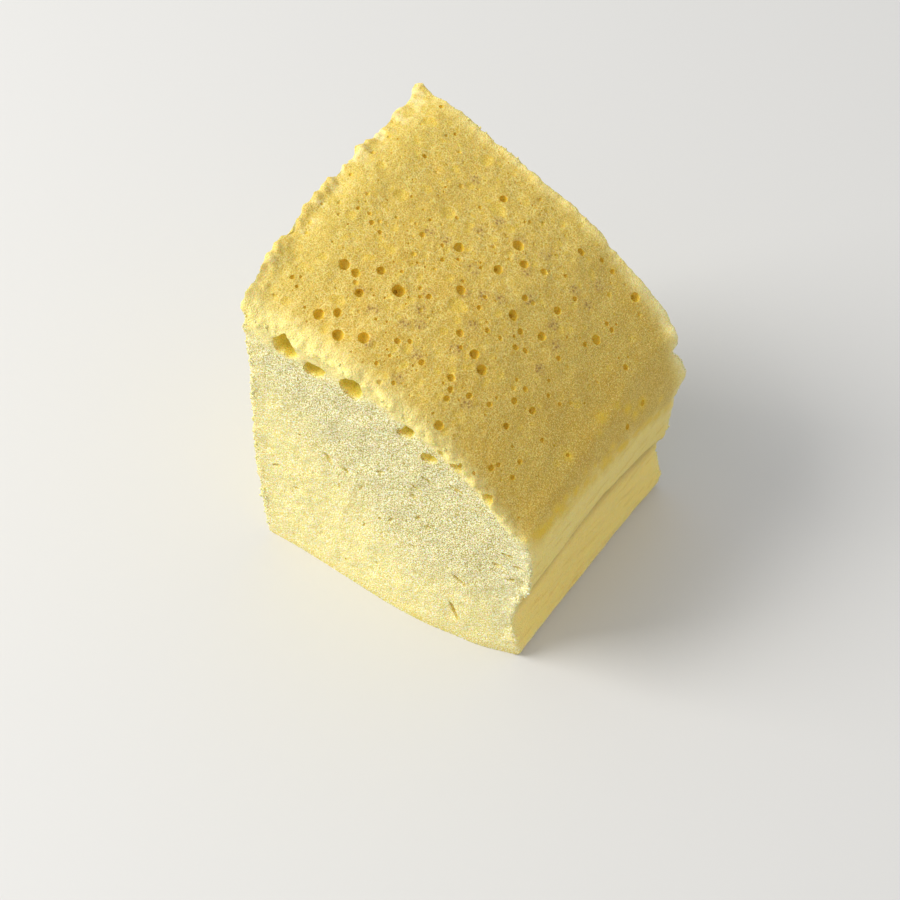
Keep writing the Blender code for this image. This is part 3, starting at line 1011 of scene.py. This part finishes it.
@dataclass(frozen=True)
class SpongeFinish:
    """Golden porous skin and pale crumb of one steamed sponge."""

    gold: Colour = (0.645, 0.435, 0.062, 1)
    gold_deep: Colour = (0.63, 0.395, 0.04, 1)
    gold_light: Colour = (0.78, 0.585, 0.105, 1)
    # pale gold for painted highlights of the foam and the mould side's pale streaks and edge; darker gold and
    # olive for painted shade in the foam, partly its own darker tone
    gold_pale: Colour = (0.86, 0.72, 0.235, 1)
    gold_shade: Colour = (0.43, 0.285, 0.035, 1)
    olive: Colour = (0.53, 0.36, 0.035, 1)
    speck: Colour = (0.32, 0.165, 0.03, 1)
    mauve: Colour = (0.53, 0.35, 0.07, 1)
    # milky patches by the tall edge, and painted glints among the brown dots
    milk: Colour = (0.96, 0.87, 0.45, 1)
    amber: Colour = (0.79, 0.55, 0.045, 1)
    # this darker amber, and the darker cave colour below, are painted shade deep in the pores and holes
    amber_shaded: Colour = (0.63, 0.41, 0.015, 1)
    cave: Colour = (0.96, 0.79, 0.17, 1)
    cave_shaded: Colour = (0.78, 0.61, 0.06, 1)
    crumb: Colour = (1.0, 0.91, 0.47, 1)
    # paler and darker crumb for the painted light and shade of its fine speckle; the darker yellow-brown also
    # serves the yellower crumb's painted pore shade and its darker patches
    crumb_light: Colour = (1.0, 0.98, 0.74, 1)
    crumb_shade: Colour = (0.45, 0.37, 0.09, 1)
    crumb_warm: Colour = (1.0, 0.88, 0.35, 1)
    warm_shade: Colour = (0.68, 0.54, 0.12, 1)
    torn: Colour = (1.0, 0.83, 0.27, 1)
    tip: Colour = (0.98, 0.91, 0.48, 1)
    side_pale: Colour = (0.88, 0.70, 0.20, 1)
    # golden lower band and foot of the mould side, partly lightened as painted bounce light from below
    side_low: Colour = (1.0, 0.75, 0.21, 1)
    side_foot: Colour = (1.0, 0.80, 0.33, 1)
    # dark olive of the painted shade under the mould side's crease lip
    crease: Colour = (0.40, 0.28, 0.06, 1)
    orange: Colour = (0.80, 0.54, 0.025, 1)

    def skin_colour(self, bench: Bench, where: bpy.types.NodeSocket, patch: Value) -> bpy.types.NodeSocket:
        """Colour of the top's skin, with painted key light towards the tall side, and painted highlights and shade
        in its foam.
        """
        across, cluster, hollow = (bench.mask(name) for name in ("across", "cluster", "hollow"))
        froth = 1 - 0.6 * across.ramp(0.60, 0.95)
        dust = bench.cloud(where, 0.26, 1.0)
        curled = bench.warped(where, 1.4, 1.3)
        small, middling = bench.walls(curled, 0.85), bench.walls(curled, 2.1)
        open_foam = bench.cloud(where, 7.0, 1.0).ramp(0.42, 0.60) * froth.ramp(0.6, 1.0)
        lacy = (0.4 + 0.6 * bench.cloud(where, 3.0, 1.0).ramp(0.38, 0.62)) * froth
        skin = bench.tint(bench.cloud(where, 14.0).ramp(0.35, 0.65), self.gold, self.gold_deep)
        # lighter towards the tall side: painted key light, partly the skin's own lighter gold there
        skin = bench.tint(across.ramp(0.32, 0.0) * 0.7, skin, self.gold_light)
        # darker olive and amber in the foam's cell hollows: painted shade, partly the foam's own darker tone
        skin = bench.tint(small.ramp(0.08, 0.30) * lacy * 0.40, skin, self.olive)
        skin = bench.tint(middling.ramp(0.12, 0.34) * open_foam * 0.35, skin, self.amber)
        # pale cell walls: painted highlights on the foam's rims, partly its paler walls
        skin = bench.tint(small.ramp(0.15, 0.02) * lacy * 0.65, skin, self.gold_pale)
        skin = bench.tint(middling.ramp(0.075, 0.01) * open_foam * 0.6, skin, self.gold_pale)
        skin = bench.tint(hollow.ramp(0.1, 0.9) * 0.55, skin, self.amber)
        # pale ring round each soft hollow: painted highlight on its lip
        skin = bench.tint(hollow.ramp(0.0, 0.1) * hollow.ramp(0.4, 0.15) * 0.2, skin, self.gold_pale)
        # dark and light flecks of the fine foam: painted shade and painted glints, partly its own speckled tone
        skin = bench.tint(dust.ramp(0.48, 0.35) * (0.95 - 0.42 * froth), skin, self.gold_shade)
        skin = bench.tint(dust.ramp(0.54, 0.67) * (0.95 - 0.42 * froth), skin, self.gold_pale)
        milky = across.ramp(0.09, 0.0) * patch.ramp(0.50, 0.62)
        skin = bench.tint(milky * 0.6, skin, self.milk)
        skin = bench.tint(cluster.ramp(0.1, 0.8) * 0.5, skin, self.mauve)
        # milky flecks among the brown dots: painted glints, partly milky tissue
        skin = bench.tint(cluster.ramp(0.25, 0.8) * dust.ramp(0.50, 0.62) * 0.2, skin, self.milk)
        dots = bench.cells(where, 0.8).ramp(0.50, 0.25)
        return bench.tint(dots * cluster.ramp(0.2, 0.7) * 0.75, skin, self.speck)

    def mould_colour(
        self, bench: Bench, where: bpy.types.NodeSocket, skin: bpy.types.NodeSocket, patch: Value
    ) -> bpy.types.NodeSocket:
        """Colour of the skin, with the mould side's bands under its orange line, painted shade under the crease's
        lip and painted bounce light low on the side.
        """
        side, lift, over, crease, stain, tip = (
            bench.mask(name) for name in ("side", "lift", "over", "crease", "stain", "tip")
        )
        streaks = bench.cloud(bench.stretched(where, (1.0, 0.14, 1.0)), 1.3, 3.0)
        # below the crease a golden colour lightened as painted bounce light, and at the foot a lighter one, partly
        # its own yellower foot and partly painted bounce light
        band = bench.tint(lift.ramp(0.4, 1.6), self.side_low, self.side_pale)
        band = bench.tint(bench.height(where).ramp(3.2, 1.6), band, self.side_foot)
        band = bench.tint(streaks.ramp(0.52, 0.70) * 0.35, band, self.gold_pale)
        band = bench.tint(streaks.ramp(0.46, 0.30) * 0.30, band, self.gold_deep)
        # painted shade under the crease's lip
        band = bench.tint(crease * 0.6, band, self.crease)
        outer = bench.tint(side * (over + 9.0 * (patch - 0.5)).ramp(4.5, -5.5), skin, band)
        outer = bench.tint(tip * 0.6, outer, self.gold_pale)
        line = over.ramp(-2.8, -0.4) * over.ramp(2.4, 0.2) * side * patch.ramp(0.40, 0.58)
        outer = bench.tint(line * 0.6, outer, self.orange)
        return bench.tint((stain * (0.6 + 0.5 * patch)).least(0.85), outer, self.orange)

    def crumb_colour(self, bench: Bench, where: bpy.types.NodeSocket, grain: Value) -> bpy.types.NodeSocket:
        """Colour of the cut and torn crumb, with painted shade in its tiny pores, pits and streaks and painted
        light on its fine speckle, partly its own speckled tone.
        """
        warm, torn, tip = (bench.mask(name) for name in ("warm", "torn", "tip"))
        fine = bench.cloud(where, 0.34, 1.0)
        dust = bench.cloud(where, 0.22, 1.0)
        pit_shade = bench.cells(where, 0.5).ramp(0.40, 0.20)
        streak_shade = bench.cloud(bench.stretched(where, (0.22, 1.0, 1.0)), 0.8, 2.0)
        crumb = bench.tint(warm, self.crumb, self.crumb_warm)
        shade = bench.tint(warm, self.crumb_shade, self.warm_shade)
        crumb = bench.tint(torn * 0.9, crumb, self.torn)
        crumb = bench.tint(tip * 0.8, crumb, self.tip)
        calm = 1 - (torn * 0.8).most(warm * 0.45).most(tip * 0.4)
        # dark speckle: painted shade in the crumb's tiny pores and pits, partly its own speckled tone
        dark = (fine.ramp(0.51, 0.41) * 0.78 + dust.ramp(0.48, 0.40) * 0.45 + pit_shade * 0.45).least(1.0)
        crumb = bench.tint(dark * calm, crumb, shade)
        crumb = bench.tint(grain.ramp(0.46, 0.32) * (0.15 + 0.35 * warm).most(torn * 0.45), crumb, self.warm_shade)
        # stretched streaks: painted shadow lines, partly the crumb's layering
        crumb = bench.tint(streak_shade.ramp(0.42, 0.30) * calm * 0.35, crumb, shade)
        crumb = bench.tint(bench.height(where).ramp(2.6, 0.8) * 0.5, crumb, self.gold_light)
        # light speckle: painted light on the crumb's fine tips, partly its own paler grains
        return bench.tint(fine.ramp(0.54, 0.62) * (0.85 - 0.65 * torn), crumb, self.crumb_light)

    def material(self) -> bpy.types.Material:
        """Builds the sponge's material.

        Returns:
            A material that reads the numbers kept on the chunk's points.
        """
        made = bpy.data.materials.new("sponge")
        made.use_nodes = True
        made.node_tree.nodes.clear()
        bench = Bench(made.node_tree)
        where = bench.place()
        rind, pore = bench.mask("rind"), bench.mask("pore")
        patch = bench.cloud(where, 4.0, 3.0)
        lump = bench.cloud(where, 1.8, 2.0)
        grain = bench.cloud(where, 0.9, 3.0, 0.6)
        fine = bench.cloud(where, 0.42, 2.0)

        skin = (rind + (lump - 0.5) * 5.0 + (grain - 0.5) * 3.0).ramp(-1.6, 4.2)
        outer = self.mould_colour(bench, where, self.skin_colour(bench, where, patch), patch)
        colour = bench.tint(skin, self.crumb_colour(bench, where, grain), outer)
        inside = pore * (0.35 + 0.65 * skin)
        colour = bench.tint(inside.ramp(0.02, 0.45), colour, bench.tint(skin, self.cave, self.amber))
        # darker deeper in the pores and holes: painted shade
        painted_depth_shade = bench.tint(skin, self.cave_shaded, self.amber_shaded)
        colour = bench.tint(pore.ramp(0.6, 2.4) * 0.75, colour, painted_depth_shade)

        relief = skin * (0.6 * grain + 0.7 * fine) + (1 - skin) * (1.6 * fine + 0.6 * grain)
        bump = bench.node("ShaderNodeBump", None, {"Strength": 0.75, "Distance": 0.0004, "Height": relief})
        shader = bench.node(
            "ShaderNodeBsdfPrincipled",
            {"subsurface_method": "RANDOM_WALK"},
            {
                "Base Color": colour,
                "Roughness": 0.62 - 0.22 * skin * grain.ramp(0.45, 0.7),
                "Subsurface Weight": 0.35,
                "Subsurface Radius": (1.0, 0.55, 0.16),
                "Subsurface Scale": 0.0018,
                "Specular IOR Level": 0.4,
                "Coat Weight": skin * fine.ramp(0.58, 0.70) * 0.35,
                "Coat Roughness": 0.2,
                "Normal": bump.outputs[0],
            },
        )
        bench.node("ShaderNodeOutputMaterial", None, {0: shader.outputs[0]})
        return made


@dataclass
class SpongeChunk:
    """The whole cake chunk: uneven body, pores, masks and finish."""

    plan: CakePlan
    relief: Relief
    spots: SkinSpots
    bubbles: BubbleField
    coarse_cuts: int = 9
    face_limit: int = 196_000
    crisp: float = 80.0
    shoulder_reach: float = 13.0
    shoulder_rounds: int = 130

    def block(self) -> bpy.types.Object:
        """A cube cut into a lattice whose points hold shares, finest on top and near."""
        bpy.ops.object.select_all(action="DESELECT")
        bpy.ops.mesh.primitive_cube_add(size=1.0, location=(0, 0, 0))
        body = bpy.context.object
        body.name = "cake"
        bpy.ops.object.mode_set(mode="EDIT")
        bpy.ops.mesh.select_all(action="SELECT")
        bpy.ops.mesh.subdivide(number_cuts=self.coarse_cuts)
        upright = (Side.TOP, Side.NEAR, Side.MOULD, Side.FAR, Side.TALL)
        for cuts, wanted in ((4, upright), (1, upright), (1, (Side.TOP, Side.NEAR))):
            self.select_sides(body, wanted)
            bpy.ops.mesh.subdivide(number_cuts=cuts)
        bpy.ops.object.mode_set(mode="OBJECT")
        return body

    def select_sides(self, body: bpy.types.Object, wanted: tuple[Side, ...]) -> None:
        """Selects in edit mode the faces that lie on some of the cube's sides."""
        bpy.ops.mesh.select_mode(type="FACE")
        bpy.ops.mesh.select_all(action="DESELECT")
        bpy.ops.object.mode_set(mode="OBJECT")
        middles = np.zeros(len(body.data.polygons) * 3)
        body.data.polygons.foreach_get("center", middles)
        shares = middles.reshape(-1, 3) + 0.5
        chosen = np.any([np.abs(shares[:, side.value[0]] - side.value[1]) < 1e-5 for side in wanted], axis=0)
        body.data.polygons.foreach_set("select", chosen)
        bpy.ops.object.mode_set(mode="EDIT")

    def soften(self, body: bpy.types.Object, weights: Array, rounds: int) -> None:
        """Rounds the body where weights say, with a smoothing modifier."""
        group = body.vertex_groups.new(name="soft")
        for index in np.flatnonzero(weights > 0.01):
            group.add([int(index)], float(weights[index]), "REPLACE")
        modifier = body.modifiers.new("soften", "SMOOTH")
        modifier.factor = 0.5
        modifier.iterations = rounds
        modifier.vertex_group = group.name
        pick_only(body)
        bpy.ops.object.modifier_apply(modifier="soften")
        body.vertex_groups.clear()

    def shape(self, body: bpy.types.Object) -> Lattice:
        """Moves the lattice onto the smooth body and rounds its edges.

        Returns:
            The smooth body's points.
        """
        shares = np.round(read_points(body) + 0.5, 6)
        points = self.plan.body(*shares.T)
        body.data.vertices.foreach_set("co", points.ravel())
        u, v, w = shares.T
        rim = Lattice(self.plan, points, points, shares)
        inside = ease(np.minimum(v, 1 - v), 0.0, 0.05)
        from_rim = np.where(rim.on(Side.TOP), rim.wide * (1 - u), np.where(u > 0.999, rim.under(), 99.0))
        self.soften(body, ease(from_rim, self.shoulder_reach, 2.0) * inside, self.shoulder_rounds)
        uneven = 0.6 + 0.6 * bump_field(points, 3.0, 51.0)
        self.soften(body, ease(rim.edge_distance(), 2.2, 0.4) * np.clip(uneven, 0.1, 1) * ease(w, 0.0, 0.05), 8)
        body.data.update()
        return Lattice(self.plan, read_points(body), read_points(body, "normal"), shares)

    def write_fields(self, piece: bpy.types.Object, fields: dict[str, Array]) -> None:
        """Keeps numbers on a mesh's points."""
        for name, values in fields.items():
            known = piece.data.attributes.get(name) or piece.data.attributes.new(name, "FLOAT", "POINT")
            known.data.foreach_set("value", np.asarray(values, np.float32))

    def cut(self, body: bpy.types.Object, cutter: bpy.types.Object) -> None:
        """Takes a cutter's shells out of the body."""
        modifier = body.modifiers.new("bubbles", "BOOLEAN")
        modifier.operation = "DIFFERENCE"
        modifier.solver = "MANIFOLD"
        modifier.object = cutter
        pick_only(body)
        bpy.ops.object.modifier_apply(modifier="bubbles")
        bpy.data.objects.remove(cutter, do_unlink=True)

    def fill_fields(self, piece: bpy.types.Object, outside: Nearest, fields: dict[str, Array]) -> None:
        """Gives the points that a cut has made the numbers of the nearest old point."""
        points = read_points(piece) / MM + (*self.plan.middle, 0.0)
        kept = np.zeros(len(points), np.float32)
        was_cut = "kept" in piece.data.attributes
        if was_cut:
            piece.data.attributes["kept"].data.foreach_get("value", kept)
            piece.data.attributes.remove(piece.data.attributes["kept"])
        new = np.flatnonzero(kept < 0.5)
        nearest, away = outside.find(points[new])
        for name, source in fields.items():
            values = np.zeros(len(points), np.float32)
            if name in piece.data.attributes:
                piece.data.attributes[name].data.foreach_get("value", values)
            values[new] = source[nearest]
            if name == "pore" and was_cut:
                values[new] = away
            self.write_fields(piece, {name: values})

    def thin(self, body: bpy.types.Object) -> None:
        """Merges the flattest faces until the piece is down to its face limit in triangles."""
        body.data.calc_loop_triangles()
        count = len(body.data.loop_triangles)
        if count > self.face_limit:
            modifier = body.modifiers.new("thin", "DECIMATE")
            modifier.ratio = self.face_limit / count
            pick_only(body)
            bpy.ops.object.modifier_apply(modifier="thin")
            self.clear_flaps()

    def clear_flaps(self) -> None:
        """Removes the slivers of the active piece that hang on an edge beside its two own faces."""
        bpy.ops.object.mode_set(mode="EDIT")
        bpy.ops.mesh.select_mode(type="EDGE")
        bpy.ops.mesh.select_all(action="DESELECT")
        bpy.ops.mesh.select_non_manifold(use_wire=False, use_verts=False)
        bpy.ops.mesh.select_mode(type="FACE")
        bpy.ops.mesh.delete(type="FACE")
        bpy.ops.object.mode_set(mode="OBJECT")

    def build(self, finish: bpy.types.Material) -> tuple[bpy.types.Object, "Surface"]:
        """Models and dresses the chunk.

        Args:
            finish: The sponge's material.

        Returns:
            The finished piece, and its surface before the pores are cut.
        """
        body = self.block()
        smooth = self.shape(body)
        self.bubbles.settle(smooth)
        fields = smooth.fields(self.bubbles.clusters, self.bubbles.stains, self.bubbles.dimples)
        uneven = self.relief.moved(smooth, self.bubbles.dimples)
        body.data.vertices.foreach_set("co", self.plan.placed(uneven).ravel())
        body.data.update()
        normals = read_points(body, "normal")
        self.write_fields(body, fields | {"kept": np.ones(len(uneven))})
        outside = Nearest(uneven)
        pores, inner = self.bubbles.skin_shells(outside, normals)
        self.cut(body, self.bubbles.blow([*self.bubbles.tears, *pores]))
        self.cut(body, self.bubbles.blow(inner))
        self.bubbles.clear_patterns()
        self.fill_fields(body, outside, fields)
        self.thin(body)
        pick_only(body)
        bpy.ops.object.shade_smooth_by_angle(angle=math.radians(self.crisp))
        body.data.materials.clear()
        body.data.materials.append(finish)
        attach(body, "root")
        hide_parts("sponge_cake")
        return body, Surface(smooth, outside, normals, fields)


@dataclass
class Surface:
    """The uneven surface that crumbs cling to."""

    smooth: Lattice
    points: Nearest
    normals: Array
    fields: dict[str, Array]


@dataclass
class LooseCrumbs:
    """Crumbs that cling along the torn edges: ends in shares, and how many."""

    chunk: SpongeChunk
    seed: int = 7
    rows: tuple[tuple[tuple[float, ...], tuple[float, ...], int], ...] = (
        ((0, 0, 0.04), (0, 0, 0.98), 170),
        ((0, 0, 1), (0, 1, 1), 50),
        ((0, 0, 1), (1, 0, 1), 70),
        ((1, 0, 0.25), (1, 0, 0.95), 60),
        ((0, 1, 0.04), (0, 1, 0.98), 60),
        ((0, 1, 1), (1, 1, 1), 60),
        ((1, 1, 0.1), (1, 1, 0.95), 40),
    )
    spread: float = 1.1
    sizes: tuple[float, float] = (0.13, 0.25)
    sink: float = 0.1

    def build(self, surface: Surface, finish: bpy.types.Material) -> bpy.types.Object:
        """Models the crumbs.

        Args:
            surface: What they cling to.
            finish: The sponge's material.

        Returns:
            One piece that holds them all.
        """
        dice = random.Random(self.seed)
        plan = self.chunk.plan
        shells = []
        for start, end, count in self.rows:
            for _ in range(count):
                share = dice.random()
                spot = np.array([a + share * (b - a) for a, b in zip(start, end)])
                place = plan.body(*spot) + [dice.uniform(-self.spread, self.spread) for _ in range(3)]
                index = int(surface.points.find(place[None])[0][0])
                size = self.sizes[0] + self.sizes[1] * dice.random() ** 2
                sizes = tuple(size * dice.uniform(0.7, 1.4) for _ in range(3))
                centre = Vector(surface.points.points[index]) - Vector(surface.normals[index]) * self.sink * size
                if surface.fields["rind"][index] > 0.4 or not self.chunk.bubbles.is_free(centre, size):
                    continue
                turn = Euler([dice.uniform(0, 3) for _ in range(3)])
                shells.append(Bubble(centre, sizes, turn, 2, 0.7))
        crumbs = self.chunk.bubbles.blow(shells)
        self.chunk.bubbles.clear_patterns()
        crumbs.name = "crumbs"
        self.chunk.fill_fields(crumbs, surface.points, surface.fields)
        pick_only(crumbs)
        bpy.ops.object.shade_smooth()
        crumbs.data.materials.clear()
        crumbs.data.materials.append(finish)
        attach(crumbs, "root")
        return crumbs


@dataclass
class Studio:
    """Pale floor, soft light and the camera."""

    floor_size: float = 3.0
    floor_colour: Colour = (0.65, 0.645, 0.63, 1)
    sky: float = 0.68
    key_power: float = 15.2
    key_size: float = 0.73
    key_height: float = 42.0
    key_distance: float = 1.3
    sight: Sight = field(default_factory=Sight)
    film: float = 36.0

    def floor(self) -> bpy.types.Object:
        """A wide matt floor at the cake's foot."""
        bpy.ops.object.select_all(action="DESELECT")
        bpy.ops.mesh.primitive_plane_add(size=self.floor_size, location=(0, 0, 0))
        floor = bpy.context.object
        floor.name = "floor"
        made = bpy.data.materials.new("floor")
        made.use_nodes = True
        shader = made.node_tree.nodes["Principled BSDF"]
        shader.inputs["Base Color"].default_value = self.floor_colour
        shader.inputs["Roughness"].default_value = 0.6
        floor.data.materials.append(made)
        return floor

    def light(self) -> None:
        """Soft key light from the left of the camera, and an even sky."""
        world = bpy.data.worlds.new("studio")
        bpy.context.scene.world = world
        world.use_nodes = True
        background = world.node_tree.nodes["Background"]
        background.inputs[0].default_value = (0.97, 0.98, 1.0, 1)
        background.inputs[1].default_value = self.sky
        turn, height = math.radians(self.sight.turn), math.radians(self.key_height)
        way = Vector((-math.cos(turn) * math.cos(height), -math.sin(turn) * math.cos(height), math.sin(height)))
        bpy.ops.object.light_add(type="AREA", location=way * self.key_distance)
        lamp = bpy.context.object
        lamp.name = "key"
        lamp.data.size = self.key_size
        lamp.data.energy = self.key_power
        lamp.data.color = (1.0, 0.98, 0.94)
        lamp.rotation_euler = (-way).to_track_quat("-Z", "Y").to_euler()

    def camera(self, plan: CakePlan) -> None:
        """A camera at the photograph's place and angle."""
        bpy.ops.object.camera_add(location=plan.placed(np.array(self.sight.eye)))
        camera = bpy.context.object
        camera.data.sensor_width = self.film
        camera.data.lens = self.film * self.sight.focal / (2 * self.sight.middle)
        camera.rotation_euler = self.sight.euler()
        bpy.context.scene.camera = camera
        bpy.context.scene.view_settings.view_transform = "Standard"


def report(piece: bpy.types.Object) -> None:
    """Logs a piece's name and how many triangles it has."""
    piece.data.calc_loop_triangles()
    LOG.info("%s: %d triangles", piece.name, len(piece.data.loop_triangles))


def main() -> None:
    """Builds the cake and its crumbs, then the studio round them."""
    logging.basicConfig(level=logging.INFO, format="%(message)s")
    plan, spots = CakePlan(), SkinSpots()
    chunk = SpongeChunk(plan, Relief(), spots, BubbleField(plan, spots, Sight()))
    finish = SpongeFinish().material()
    cake, surface = chunk.build(finish)
    report(cake)
    report(LooseCrumbs(chunk).build(surface, finish))
    studio = Studio()
    studio.floor()
    studio.light()
    studio.camera(plan)


if __name__ == "__main__":
    main()
